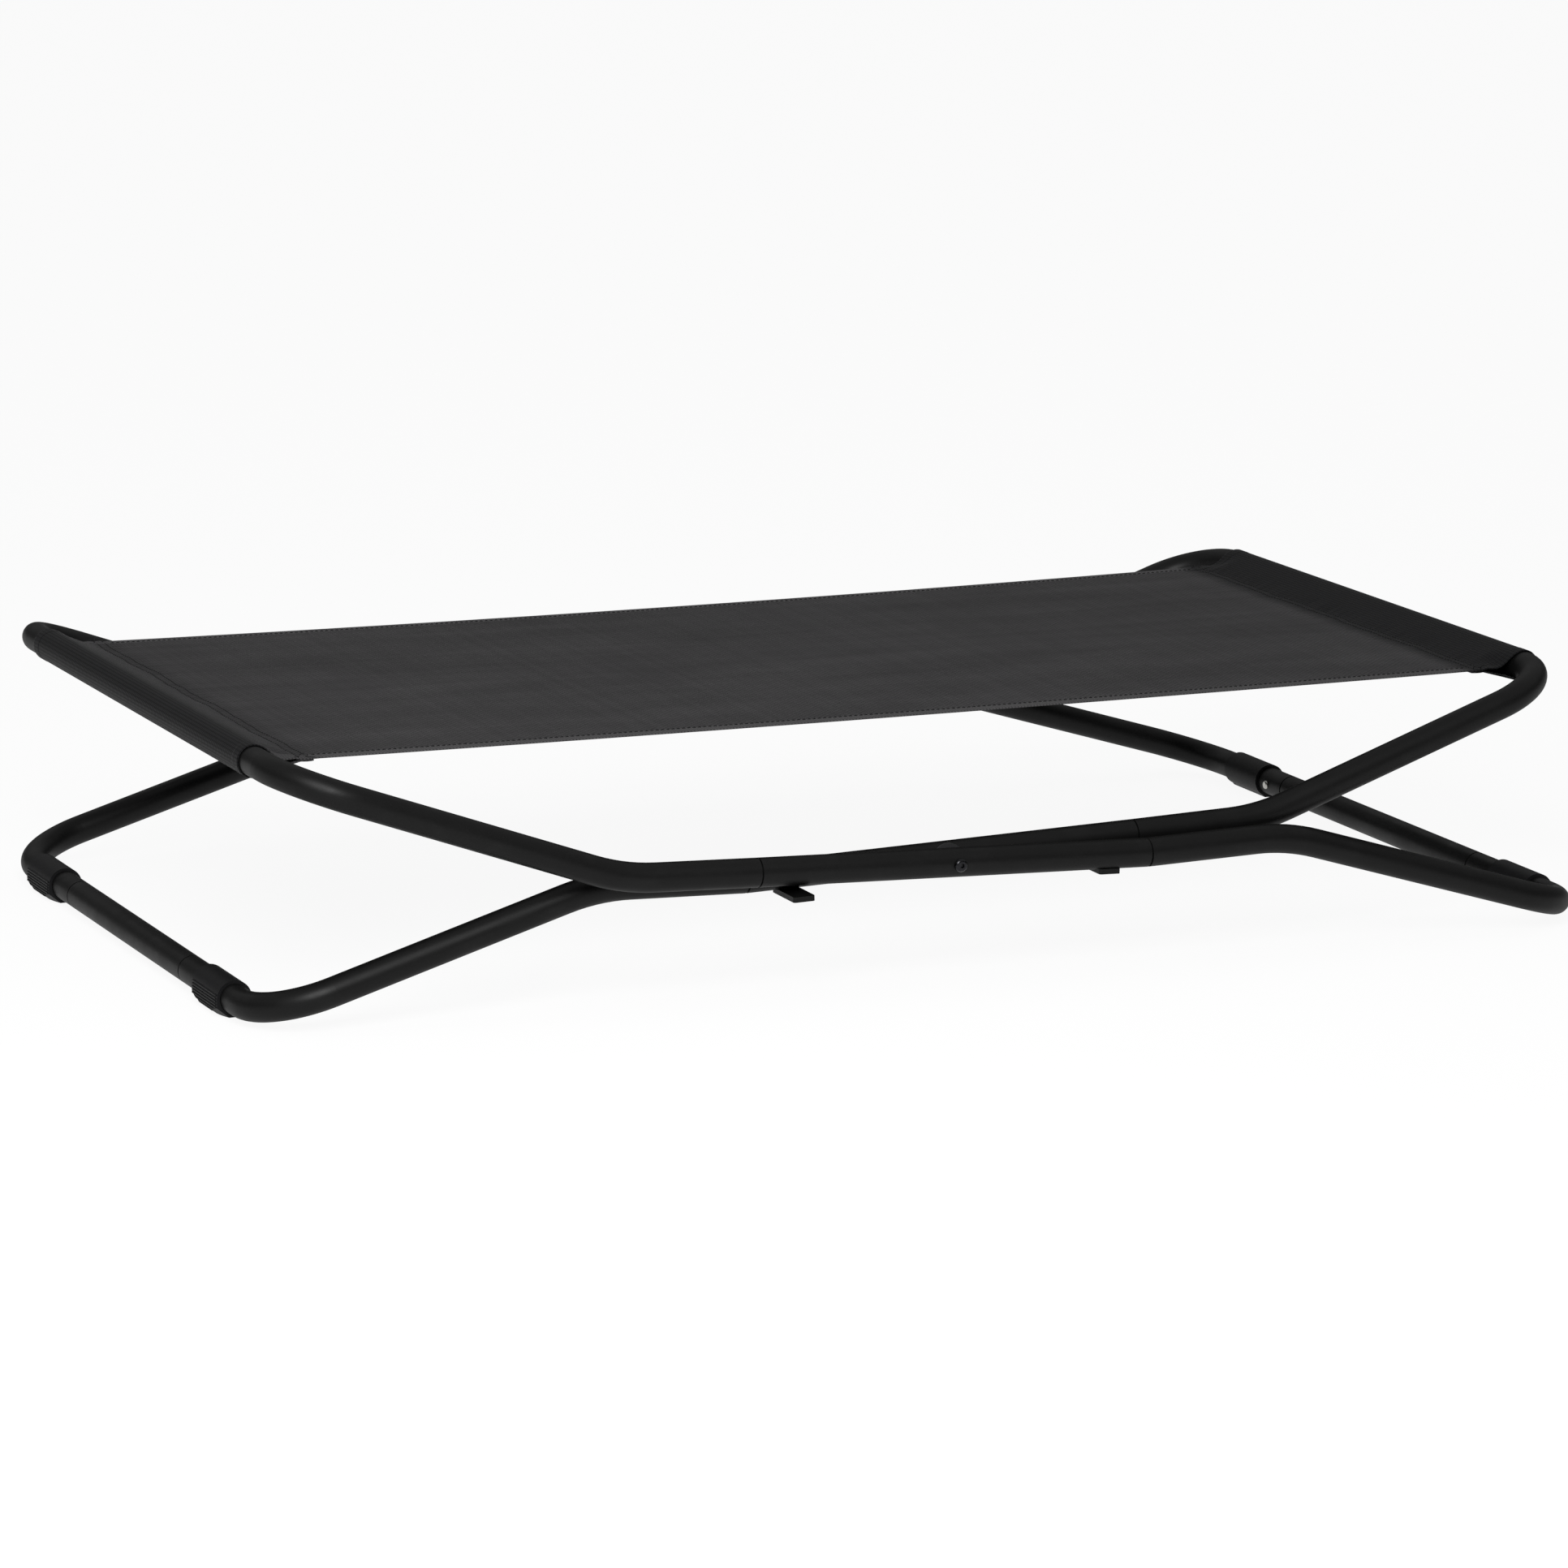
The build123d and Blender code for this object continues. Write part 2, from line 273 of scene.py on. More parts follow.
def mesh_object(
    name: str, points: np.ndarray, faces: list[np.ndarray], uv: np.ndarray | None = None
) -> bpy.types.Object:
    """Makes a smooth-shaded mesh object at the origin from whole arrays.

    Args:
        name: Name of the piece.
        points: Places of the points, three numbers each.
        faces: Arrays of faces, each with one count of corners.
        uv: Two numbers a point for the cloth's own UV map, or None.
    Returns:
        The object, linked into the scene.
    """
    mesh = bpy.data.meshes.new(name)
    mesh.from_pydata(points.tolist(), [], [f for block in faces for f in block.tolist()])
    mesh.polygons.foreach_set("use_smooth", np.ones(len(mesh.polygons), bool))
    if uv is not None:
        layer = mesh.uv_layers.new(name=CLOTH_UV)
        corner = np.empty(len(mesh.loops), np.int32)
        mesh.loops.foreach_get("vertex_index", corner)
        layer.data.foreach_set("uv", uv[corner].astype(np.float32).ravel())
    mesh.update()
    made = bpy.data.objects.new(name, mesh)
    bpy.context.scene.collection.objects.link(made)
    return made


def set_point_values(target: bpy.types.Object, name: str, values: np.ndarray) -> None:
    """Gives each point of a mesh one number, which a finish reads by its name."""
    attribute = target.data.attributes.new(name, "FLOAT", "POINT")
    attribute.data.foreach_set("value", values.astype(np.float32).ravel())


def round_strands(
    centres: np.ndarray, side: np.ndarray, up: np.ndarray, radius: np.ndarray, sides: int = 6
) -> tuple[np.ndarray, list[np.ndarray]]:
    """Many short round strands, each a circle carried along its own line and closed by a point.

    A ring point is centre + radius (cos a side + sin a up), with side, up and the line's
    direction at right angles to each other, in that turning order.

    Args:
        centres: Lines of the strands: strand, station, three numbers.
        side: Unit vectors across the lines, in a shape that fits centres.
        up: Unit vectors square to side and the lines, in a shape that fits centres.
        radius: Strand radius at each station, in a shape that fits strand and station.
        sides: Corners of a ring.
    Returns:
        Points, and the quads and triangles on them.
    """
    count, stations = centres.shape[:2]
    side, up = np.broadcast_to(side, centres.shape), np.broadcast_to(up, centres.shape)
    radius = np.broadcast_to(radius, (count, stations))[:, :, None, None]
    a = np.linspace(0.0, 2 * pi, sides, endpoint=False)[None, None, :, None]
    rings = centres[:, :, None] + radius * (np.cos(a) * side[:, :, None] + np.sin(a) * up[:, :, None])
    at = np.arange(count * stations * sides).reshape(count, stations, sides)
    turn = np.roll(at, -1, axis=2)
    quads = np.stack([at[:, :-1], turn[:, :-1], turn[:, 1:], at[:, 1:]], axis=-1).reshape(-1, 4)
    poles = at.size + np.arange(2 * count).reshape(2, count, 1)
    first, last = np.broadcast_to(poles[0], at[:, 0].shape), np.broadcast_to(poles[1], at[:, -1].shape)
    caps = np.concatenate([
        np.stack([turn[:, 0], at[:, 0], first], axis=-1).reshape(-1, 3),
        np.stack([at[:, -1], turn[:, -1], last], axis=-1).reshape(-1, 3),
    ])
    points = np.concatenate([rings.reshape(-1, 3), centres[:, 0], centres[:, -1]])
    return points, [quads, caps]


# Finishes


@dataclass(frozen=True)
class Finish:
    """What every finish has: a name, a colour and how rough its surface is."""

    name: str
    colour: str
    roughness: float

    def start(self, **sockets: Any) -> tuple[bpy.types.Material, bpy.types.NodeTree, bpy.types.Node]:
        """Makes the material with its shader, and sets the values that are the same all over.

        Args:
            sockets: Shader values by socket name, with _ for a space.
        Returns:
            The material, its node tree and its shader node.
        """
        material = bpy.data.materials.new(self.name)
        material.use_nodes = True
        tree = material.node_tree
        tree.nodes.clear()
        values = {key.replace("_", " "): value for key, value in sockets.items()}
        shader = add_node(tree, "ShaderNodeBsdfPrincipled", {
            "Base Color": linear(self.colour), "Roughness": self.roughness, **values})
        add_node(tree, "ShaderNodeOutputMaterial", {"Surface": shader.outputs[0]})
        return material, tree, shader


@dataclass(frozen=True)
class PowderCoat(Finish):
    """Satin black powder coat on steel, melted on in an oven.

    The melt leaves a fine pebbled skin, so highlights are broad and soft with a faint grain.
    """

    gleam: float = 0.02
    skin: float = 0.32
    skin_roughness: float = 0.44
    roughness_spread: float = 0.07
    pebble_mm: float = 1.6  # real pebbles are about 0.5 mm, drawn coarser so that they show
    pebble_depth_mm: float = 0.05
    rub_colour: str = "#181818"
    rub_mm: float = 28.0
    rub_range: Pair = (0.52, 0.78)
    rub_share: float = 0.4

    def material(self) -> bpy.types.Material:
        """Node material: a matte body under a thin satin skin, with pebbles as bump.

        Rubbed patches are a little lighter, and the skin is smoother there.

        Returns:
            The material.
        """
        made, tree, shader = self.start(Specular_IOR_Level=self.gleam, Coat_Weight=self.skin)
        place = add_node(tree, "ShaderNodeTexCoord").outputs["Object"]
        pebbles = noise(tree, place, self.pebble_mm, detail=2.0, roughness=0.55)
        rubs = noise(tree, place, self.rub_mm, detail=5.0, roughness=0.62)
        worn = rescale(tree, rubs, self.rub_range, (0.0, self.rub_share))
        dull_and_smooth = (self.skin_roughness + self.roughness_spread,
                           self.skin_roughness - self.roughness_spread)
        grain = bumps(tree, pebbles, 0.6, self.pebble_depth_mm)
        feed(tree, shader, {
            "Base Color": mix_colours(tree, worn, self.colour, self.rub_colour),
            "Coat Roughness": rescale(tree, rubs, (0.3, 0.7), dull_and_smooth),
            "Normal": grain,
            "Coat Normal": grain,
        })
        return made


@dataclass(frozen=True)
class MouldedPlastic(Finish):
    """Injection-moulded black polypropylene or nylon with a spark-eroded mould texture.

    The texture scatters light, so the surface is matte and a little greyer than the tube.
    """

    gleam: float = 0.12
    roughness_spread: float = 0.1
    grit_mm: float = 1.3  # a mould's grit is about 0.1 mm, drawn coarser so that it shows
    grit_depth_mm: float = 0.06
    cloud_mm: float = 18.0
    cloud_colour: str = "#151516"

    def material(self) -> bpy.types.Material:
        """Node material: grit as bump and in the roughness, and cloudy changes of tone.

        Returns:
            The material.
        """
        made, tree, shader = self.start(Specular_IOR_Level=self.gleam)
        place = add_node(tree, "ShaderNodeTexCoord").outputs["Object"]
        grit = noise(tree, place, self.grit_mm, detail=3.0, roughness=0.7)
        cloud = noise(tree, place, self.cloud_mm, detail=3.0)
        rough = (self.roughness - self.roughness_spread, self.roughness + self.roughness_spread)
        feed(tree, shader, {
            "Base Color": mix_colours(tree, cloud, self.colour, self.cloud_colour),
            "Roughness": rescale(tree, grit, (0.0, 1.0), rough),
            "Normal": bumps(tree, grit, 0.5, self.grit_depth_mm),
        })
        return made


@dataclass(frozen=True)
class PlatedSteel(Finish):
    """Steel fastener, zinc plated or blackened, with the turning marks of the machine under the plate.

    It is a metal, so its colour is in its reflections, which the marks and specks break up.
    """

    smoother: float = 0.1
    rougher: float = 0.14
    speck_mm: float = 0.9
    speck_depth_mm: float = 0.04
    speck_colour: str = "#8e8d88"

    def material(self) -> bpy.types.Material:
        """Node material: specks of duller plate in colour, roughness and bump.

        Returns:
            The material.
        """
        made, tree, shader = self.start(Metallic=1.0)
        place = add_node(tree, "ShaderNodeTexCoord").outputs["Object"]
        specks = noise(tree, place, self.speck_mm, detail=4.0, roughness=0.6)
        rough = (self.roughness - self.smoother, self.roughness + self.rougher)
        feed(tree, shader, {
            "Base Color": mix_colours(tree, specks, self.colour, self.speck_colour),
            "Roughness": rescale(tree, specks, (0.0, 1.0), rough),
            "Normal": bumps(tree, specks, 0.25, self.speck_depth_mm),
        })
        return made


@dataclass(frozen=True)
class CoatedYarnMesh(Finish):
    """Plain-woven mesh of vinyl-coated polyester yarn, dark grey.

    Warp and weft cross over and under in turn, so the eye sees fine diagonal rows of small
    pillows. Light from the floor that would come up through a single layer's holes is painted
    into their colour, and cloth that is doubled or lies on a bar gets a painted darker tone, as
    shade, in its yarns and holes. Crossings with the weft on top are painted darker, as shade.
    """

    # painted shade: crossings with the weft on top get this darker copy of the yarn's colour
    weft_painted_shade: str = "#2d2c2d"
    # painted floor light in a single layer's holes, and painted shade in doubled cloth's holes
    hole_painted_floor_light: str = "#2e2d2e"
    closed_hole_painted_shade: str = "#0a0a0a"
    # painted shade of cloth that is doubled or lies on a bar
    doubled_painted_shade: str = "#161617"
    # a lighter tone along the hems
    hem_lighter_tone: str = "#474647"
    gleam: float = 0.04
    bloom: float = 0.035
    bloom_roughness: float = 0.35
    yarn_mm: float = 2.6  # real yarns are about 1 mm apart, drawn coarser so that the rows show
    yarn_depth_mm: float = 0.45
    hole_range: Pair = (0.35, 0.62)
    streak: float = 0.16
    cloud_mm: Pair = (210.0, 70.0)
    cloud: float = 0.3
    rougher: float = 0.2

    def material(self) -> bpy.types.Material:
        """Node material on the cloth's own UV map, which is in metres along and across the cloth.

        With s and t the sines of pi times the place over the yarn spacing, the product s t changes
        sign from crossing to crossing, its size is the height of a crossing's pillow, and both
        sines are near zero at a hole. Every yarn has a tone of its own, and wide clouds change
        the tone of the whole cloth.

        Returns:
            The material.
        """
        made, tree, shader = self.start(
            Specular_IOR_Level=self.gleam, Sheen_Weight=self.bloom, Sheen_Roughness=self.bloom_roughness)
        place = add_node(tree, "ShaderNodeUVMap", uv_map=CLOTH_UV).outputs[0]
        axes = add_node(tree, "ShaderNodeSeparateXYZ", {0: place}).outputs
        sines, tones = [], []
        for axis in (0, 1):
            turns = maths(tree, "MULTIPLY", axes[axis], 1.0 / (self.yarn_mm * MM))
            sines.append(maths(tree, "SINE", maths(tree, "MULTIPLY", turns, pi)))
            tones.append(add_node(tree, "ShaderNodeTexWhiteNoise", {
                "W": maths(tree, "FLOOR", turns)}, noise_dimensions="1D").outputs[0])
        crossing = maths(tree, "MULTIPLY", *sines)
        height = maths(tree, "POWER", maths(tree, "ABSOLUTE", crossing), 0.5)
        nearest = maths(tree, "MAXIMUM", *[maths(tree, "ABSOLUTE", sine) for sine in sines])
        hole = rescale(tree, nearest, self.hole_range, (1.0, 0.0))
        # crossings with the weft on top are painted darker, as shade
        on_top = rescale(tree, crossing, (-0.25, 0.25), (0.0, 1.0))
        yarn = mix_colours(tree, on_top, self.colour, self.weft_painted_shade)
        lot = maths(tree, "ADD", *tones)
        shade = rescale(tree, lot, (0.0, 2.0), (1.0 - self.streak, 1.0 + self.streak))
        stretch = (1.0 / (self.cloud_mm[0] * MM), 1.0 / (self.cloud_mm[1] * MM), 0.0)
        spread = add_node(tree, "ShaderNodeVectorMath", {0: place, 1: stretch}, operation="MULTIPLY")
        clouds = add_node(tree, "ShaderNodeTexNoise", {
            "Vector": spread.outputs[0], "Scale": 1.0, "Detail": 4.0, "Roughness": 0.6}).outputs["Fac"]
        mottle = rescale(tree, clouds, (0.25, 0.75), (1.0 - self.cloud, 1.0 + self.cloud))
        single = add_node(tree, "ShaderNodeVectorMath", {
            0: yarn, 1: maths(tree, "MULTIPLY", shade, mottle)}, operation="MULTIPLY").outputs[0]
        # layers is the share of painted shade on doubled cloth, read from the cloth's attribute
        layers = add_node(tree, "ShaderNodeAttribute", attribute_name=DOUBLED_SHADE).outputs["Fac"]
        hem = add_node(tree, "ShaderNodeAttribute", attribute_name=HEMMED).outputs["Fac"]
        hemmed = mix_colours(tree, hem, single, self.hem_lighter_tone)
        # painted shade on doubled cloth and cloth on a bar
        painted_shade_on_doubled = mix_colours(tree, layers, hemmed, self.doubled_painted_shade)
        # holes: painted floor light in a single layer, painted shade where the cloth is doubled
        hole_painted_light_and_shade = mix_colours(tree, layers, self.hole_painted_floor_light, self.closed_hole_painted_shade)
        rough = (self.roughness + self.rougher, self.roughness)
        feed(tree, shader, {
            "Base Color": mix_colours(tree, hole, painted_shade_on_doubled, hole_painted_light_and_shade),
            "Roughness": rescale(tree, height, (0.0, 1.0), rough),
            "Normal": bumps(tree, height, 0.45, self.yarn_depth_mm),
        })
        return made


@dataclass(frozen=True)
class SewingThread(Finish):
    """Black bonded polyester sewing thread, two plies twisted together and waxed."""

    gleam: float = 0.2
    ply_mm: float = 0.7
    ply_depth_mm: float = 0.1
    # painted light on the ply crowns, lighter than the grooves
    ply_crown_painted_light: str = "#1c1c1d"
    ply_turn: Place = (0.6, 0.4, pi / 4)

    def material(self) -> bpy.types.Material:
        """Node material: slanted bands for the twisted plies, in bump and in a painted tone: crowns
        lighter, grooves darker, as painted light and shade.

        Returns:
            The material.
        """
        made, tree, shader = self.start(Specular_IOR_Level=self.gleam)
        place = add_node(tree, "ShaderNodeTexCoord").outputs["Object"]
        slant = add_node(tree, "ShaderNodeMapping", {"Vector": place, "Rotation": self.ply_turn})
        plies = add_node(tree, "ShaderNodeTexWave", {
            "Vector": slant.outputs[0], "Scale": 1.0 / (2 * pi * self.ply_mm * MM),
            "Distortion": 1.5}).outputs["Fac"]
        feed(tree, shader, {
            # crowns painted lighter than the grooves
            "Base Color": mix_colours(tree, plies, self.colour, self.ply_crown_painted_light),
            "Normal": bumps(tree, plies, 0.5, self.ply_depth_mm),
        })
        return made


# The CAD nodes that stay


@dataclass
class Frames:
    """Tubes, tabs, feet, joiners and fasteners of both frames, which keep their CAD shapes."""

    nodes: dict[str, bpy.types.Object]
    slot_of: dict[str, str]

    def dress(self, materials: dict[Slot, bpy.types.Material]) -> None:
        """Gives every CAD node the finish of its slot.

        Args:
            materials: Finished material of each slot.
        """
        for name, node in self.nodes.items():
            node.data.materials.clear()
            node.data.materials.append(materials[Slot(self.slot_of[name])])
            LOG.info("node %s has finish %s", name, node.data.materials[0].name)


# The sling


@dataclass
class Sling:
    """Mesh cloth sewn round both top bars: one strip whose ends go over, round and back under.

    u is the distance from a bar's axis towards the middle of the bed, and v the height above it.
    An ear is the corner of a lap that stands out past the cloth's edge, and the slack is how far
    the edge of a sleeve's upper layer hangs down.
    """

    half_width: float
    bar_x: float
    bar_z: float
    wrap_r: float = 11.8 * MM
    thickness: float = 0.9 * MM
    upper_v: float = -0.9 * MM
    lower_v: float = -2.1 * MM
    seam_u: float = 35.0 * MM
    tail_u: float = 45.0 * MM
    sag: float = 2.2 * MM
    edge_sag: float = 0.2
    waist: float = 4.0 * MM
    hem_width: float = 13.0 * MM
    hem_step: float = 0.9 * MM
    hem_over: float = 0.22 * MM
    hem_under: float = 0.10 * MM
    edge_round: float = 0.8 * MM
    edge_least: float = 0.02
    pucker: float = 0.26 * MM
    pucker_fade: float = 24.0 * MM
    ripple: float = 0.13 * MM
    ripple_fade: float = 260.0 * MM
    gather_u: float = 14.0 * MM
    gather_past: float = 3.0 * MM
    seam_wander: float = 1.7 * MM
    wander_u: float = 16.0 * MM
    wander_fade: Pair = (50.0 * MM, 110.0 * MM)
    ear: float = 2.4 * MM
    ear_u: float = 40.0 * MM
    ear_length: float = 5.0 * MM
    ear_power: float = 30.0
    slack: float = 4.6 * MM
    slack_u: float = 6.0 * MM
    slack_reach: float = 30.0 * MM
    lap_fade: Pair = (-4.0 * MM, 13.0 * MM)
    # share of the painted shade taken off the left end's lap, which is painted lighter
    lit_lap: float = 0.6
    lit_u: Pair = (4.0 * MM, 20.0 * MM)
    yarn_step: float = 2.3 * MM
    arc_points: int = 30
    straight_points: int = 9
    tail_points: int = 6
    sheet_points: int = 48

    def gathers(self, u: np.ndarray, y: np.ndarray) -> np.ndarray:
        """Height of the small gathers that the stitching pulls into the cloth.

        Two waves across the bed, 11 and 7 mm long, swell and fade along the seam. They are full
        at the seam, end where the sleeve leaves the bar, and fade into the sheet over 24 mm.
        Slower waves of 31, 53 and 119 mm, the pull of the tension, fade over 260 mm.

        Args:
            u: Distance from the bar's axis.
            y: Place across the bed.
        Returns:
            Heights, in the shape that u and y give together.
        """
        swell = 0.6 + 0.4 * wave(y, 137.0, 1.1) * wave(y, 61.0, 0.4)
        short = 0.6 * wave(y, 11.3, 0.7) + 0.4 * wave(y, 7.1, 2.9)
        slow = (wave(y, 31.0, 0.9) * wave(y, 173.0, 0.3)
                + 0.8 * wave(y, 53.0, 2.2) * wave(y, 241.0, 1.4)
                + 0.7 * wave(y, 119.0, 4.0))
        full_u = self.seam_u + self.gather_past
        on = smooth_step(u, self.gather_u, full_u)
        past = np.maximum(u - full_u, 0.0)
        near = self.pucker * swell * short * np.exp(-past / self.pucker_fade)
        far = self.ripple * slow * np.exp(-past / self.ripple_fade)
        return on * (near + far)

    def seam_shift(self, u: np.ndarray, y: np.ndarray) -> np.ndarray:
        """How far the seam wanders along the bed: three waves of 160, 71 and 33 mm near the seam.

        Args:
            u: Distance from the bar's axis.
            y: Place across the bed.
        Returns:
            Shifts, in the shape that u and y give together.
        """
        waves = 0.5 * wave(y, 160.0, 0.6) + 0.3 * wave(y, 71.0, 2.0) + 0.2 * wave(y, 33.0, 4.1)
        near = smooth_step(u, self.wander_u, self.seam_u) * (1.0 - smooth_step(u, *self.wander_fade))
        return self.seam_wander * waves * near

    def rest_height(self, x: np.ndarray, y: np.ndarray) -> np.ndarray:
        """Middle of the upper layer from seam to seam: a shallow parabola, a little lower at the edges.

        Args:
            x: Place along the bed.
            y: Place across the bed.
        Returns:
            Heights above the floor, in the shape that x and y give together.
        """
        share = np.clip(x / (self.bar_x - self.seam_u), -1.0, 1.0)
        edge = 1.0 + self.edge_sag * (y / self.half_width) ** 4
        return self.bar_z + self.upper_v - self.sag * edge * (1.0 - share**2)

    def drawn_in(self, x: np.ndarray, y: np.ndarray) -> np.ndarray:
        """Place across the bed of the tight sheet, drawn in by a parabola between the seams."""
        share = np.clip(x / (self.bar_x - self.seam_u), -1.0, 1.0)
        return y * (1.0 - self.waist / self.half_width * (1.0 - share**2))

    def ear_shift(self, u: np.ndarray, y: np.ndarray) -> np.ndarray:
        """How far the ears stand out: a bell curve along the bed times a high power of y across it."""
        bell = np.exp(-(((u - self.ear_u) / self.ear_length) ** 2))
        return np.sign(y) * self.ear * bell * np.abs(y / self.half_width) ** self.ear_power

    def mouth_dip(self, u: np.ndarray, v: np.ndarray, y: np.ndarray) -> np.ndarray:
        """How far the slack edge of a sleeve's upper layer hangs down between the bar and the seam.

        A squared half sine between the bar's crest and the seam, full at the edge and gone at the
        slack's reach from it.

        Args:
            u: Distance from the bar's axis.
            v: Height of the section above the bar's axis.
            y: Place across the bed.
        Returns:
            Depths, in the shape that u, v and y give together.
        """
        share = np.clip((u - self.slack_u) / (self.seam_u - self.slack_u), 0.0, 1.0)
        edge = smooth_step(np.abs(y), self.half_width - self.slack_reach, self.half_width)
        return np.where(v > self.upper_v, self.slack * np.sin(pi * share) ** 2 * edge, 0.0)

    def doubled_shade_share(self, x: np.ndarray, u: np.ndarray) -> np.ndarray:
        """Share of the painted shade on doubled cloth: full on the bars and the laps, gone past the
        tails.

        The lap at the left end gets only part of this painted shade, so it is painted lighter.

        Args:
            x: Place along the bed.
            u: Distance from the bar's axis.
        Returns:
            Shares from 0 to 1.
        """
        layers = 1.0 - smooth_step(u, self.tail_u + self.lap_fade[0], self.tail_u + self.lap_fade[1])
        # the left lap loses part of its painted shade: a painted lighter tone
        lit = np.where(x < 0, self.lit_lap * smooth_step(u, *self.lit_u), 0.0)
        return layers * (1.0 - lit)

    def sleeve_line(self) -> np.ndarray:
        """Section of one sleeve, from the tail's end round the bar and back to the seam.

        Straight from the tail to the lower tangent point of a circle round the bar, along the
        circle by the far side, and straight from the upper tangent point to the seam.

        Returns:
            u and v of each point.
        """
        ends = []
        for v, turn in ((self.lower_v, -1.0), (self.upper_v, 1.0)):
            reach = np.hypot(self.seam_u, v)
            ends.append(np.arctan2(v, self.seam_u) + turn * np.arccos(self.wrap_r / reach))
        round_bar = np.linspace(ends[0], ends[1] - 2 * pi, self.arc_points)
        arc = self.wrap_r * np.stack([np.cos(round_bar), np.sin(round_bar)], axis=1)
        tail = np.linspace((self.tail_u, self.lower_v), (self.seam_u, self.lower_v), self.tail_points)
        below = np.linspace(tail[-1], arc[0], self.straight_points)[1:-1]
        above = np.linspace(arc[-1], (self.seam_u, self.upper_v), self.straight_points)[1:-1]
        return np.concatenate([tail, below, arc, above])

    def line(self) -> tuple[np.ndarray, np.ndarray, np.ndarray]:
        """Section of the whole cloth from tail to tail, with its points closest together near the seams.

        Returns:
            X, Z above the bars' axes, and 1 where the point is in the upper layer between the seams.
        """
        sleeve = self.sleeve_line()
        fine_mm = np.arange(0.0, 12.0, 2.0)
        close_mm = 12.0 + 3.0 * np.arange(14)
        wide_mm = np.array([58.0, 64.0, 72.0, 82.0, 94.0, 108.0])
        near = self.bar_x - self.seam_u - np.concatenate([fine_mm, close_mm, wide_mm]) * MM
        middle = np.linspace(-near[-1], near[-1], self.sheet_points)[1:-1]
        sheet = np.concatenate([-near, middle, near[::-1]])
        x = np.concatenate([sleeve[:, 0] - self.bar_x, sheet, self.bar_x - sleeve[::-1, 0]])
        v = np.concatenate([sleeve[:, 1], np.full(len(sheet), self.upper_v), sleeve[::-1, 1]])
        upper = np.concatenate([np.zeros(len(sleeve)), np.ones(len(sheet)), np.zeros(len(sleeve))])
        return x, v, upper

    def across(self) -> np.ndarray:
        """Places across the bed: close together at the edges and the hems' steps, even between.

        Returns:
            Y from the near edge to the far one.
        """
        rounded_mm = np.array([0.0, 0.15, 0.4, 0.8])
        hem_mm = np.array([2.5, 5.0, 8.0, 11.0, 12.1, 12.6, 13.0, 13.6])
        edge = self.half_width - np.concatenate([rounded_mm, hem_mm]) * MM
        count = int(round(2 * edge[-1] / self.yarn_step))
        middle = np.linspace(-edge[-1], edge[-1], count)[1:-1]
        return np.concatenate([-edge, middle, edge[::-1]])

    def build(self) -> bpy.types.Object:
        """Makes the cloth: its middle surface, set off by half its thickness to either side.

        The middle surface is the section carried across the bed, with the gathers, the seam's
        wander, the ears and the sleeves' slack mouths added. The hems are thicker, and the edges
        are rounded off by a quarter circle.

        Returns:
            The sling as one closed mesh.
        """
        x, v, upper = self.line()
        x0, v0, y0 = x[:, None], v[:, None], self.across()[None, :]
        u = self.bar_x - np.abs(x0)
        side = np.where(x0 < 0, -1.0, 1.0)
        z = np.where(upper[:, None] > 0.5, self.rest_height(x0, y0), self.bar_z + v0)
        z = z + self.gathers(u, y0) - self.mouth_dip(u, v0, y0)
        shifted = x0 + side * self.seam_shift(u, y0)
        middle = together(shifted, self.drawn_in(x0, y0) + self.ear_shift(u, y0), z)
        normal = np.cross(np.gradient(middle, axis=0), np.gradient(middle, axis=1))
        normal /= np.linalg.norm(normal, axis=-1, keepdims=True)
        from_edge = self.half_width - np.abs(y0)
        hem = 1.0 - smooth_step(from_edge, self.hem_width - self.hem_step, self.hem_width)
        curve = np.clip(1.0 - from_edge / self.edge_round, 0.0, 1.0)
        full = np.sqrt(np.maximum(1.0 - curve**2, self.edge_least))
        out = (self.thickness / 2 + self.hem_over * hem) * full
        inside = (self.thickness / 2 + self.hem_under * hem) * full
        layers = [middle + normal * out[..., None], middle - normal * inside[..., None]]
        run = np.concatenate([[0.0], np.cumsum(np.hypot(np.diff(x), np.diff(v)))])
        uv = together(run[:, None], y0)
        made = mesh_object("sling", np.concatenate(layers).reshape(-1, 3), shell_faces(*z.shape),
                           np.concatenate([uv, uv]).reshape(-1, 2))
        # the doubled cloth's painted shade share, and the hems' mask
        for name, share in ((DOUBLED_SHADE, self.doubled_shade_share(x0, u)), (HEMMED, hem)):
            set_point_values(made, name, np.tile(np.broadcast_to(share, z.shape), (2, 1)))
        return made

    def sheet_top(self, x: np.ndarray, y: np.ndarray) -> np.ndarray:
        """Height of the top of the single sheet between the seams, without its hems."""
        return self.rest_height(x, y) + self.gathers(self.bar_x - np.abs(x), y) + self.thickness / 2

    def seam_top(self, end: End, u: np.ndarray, y: np.ndarray) -> np.ndarray:
        """Points on the top of the upper layer near a seam.

        Args:
            end: Which end of the bed.
            u: Distance from the bar's axis, at least the seam's.
            y: Place across the bed.
        Returns:
            Points, three numbers each.
        """
        x = end.value * (self.bar_x - u)
        shifted = x + end.value * self.seam_shift(u, y)
        return together(shifted, self.drawn_in(x, y), self.sheet_top(x, y))

    def finish(self, cloth: bpy.types.Object, material: bpy.types.Material) -> None:
        """Dresses the cloth and stands it for the CAD solids, which it hides.

        Args:
            cloth: The built sling.
            material: Its woven finish.
        """
        cloth.data.materials.append(material)
        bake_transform(cloth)
        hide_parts("sling_sheet", "left_sleeve", "right_sleeve")


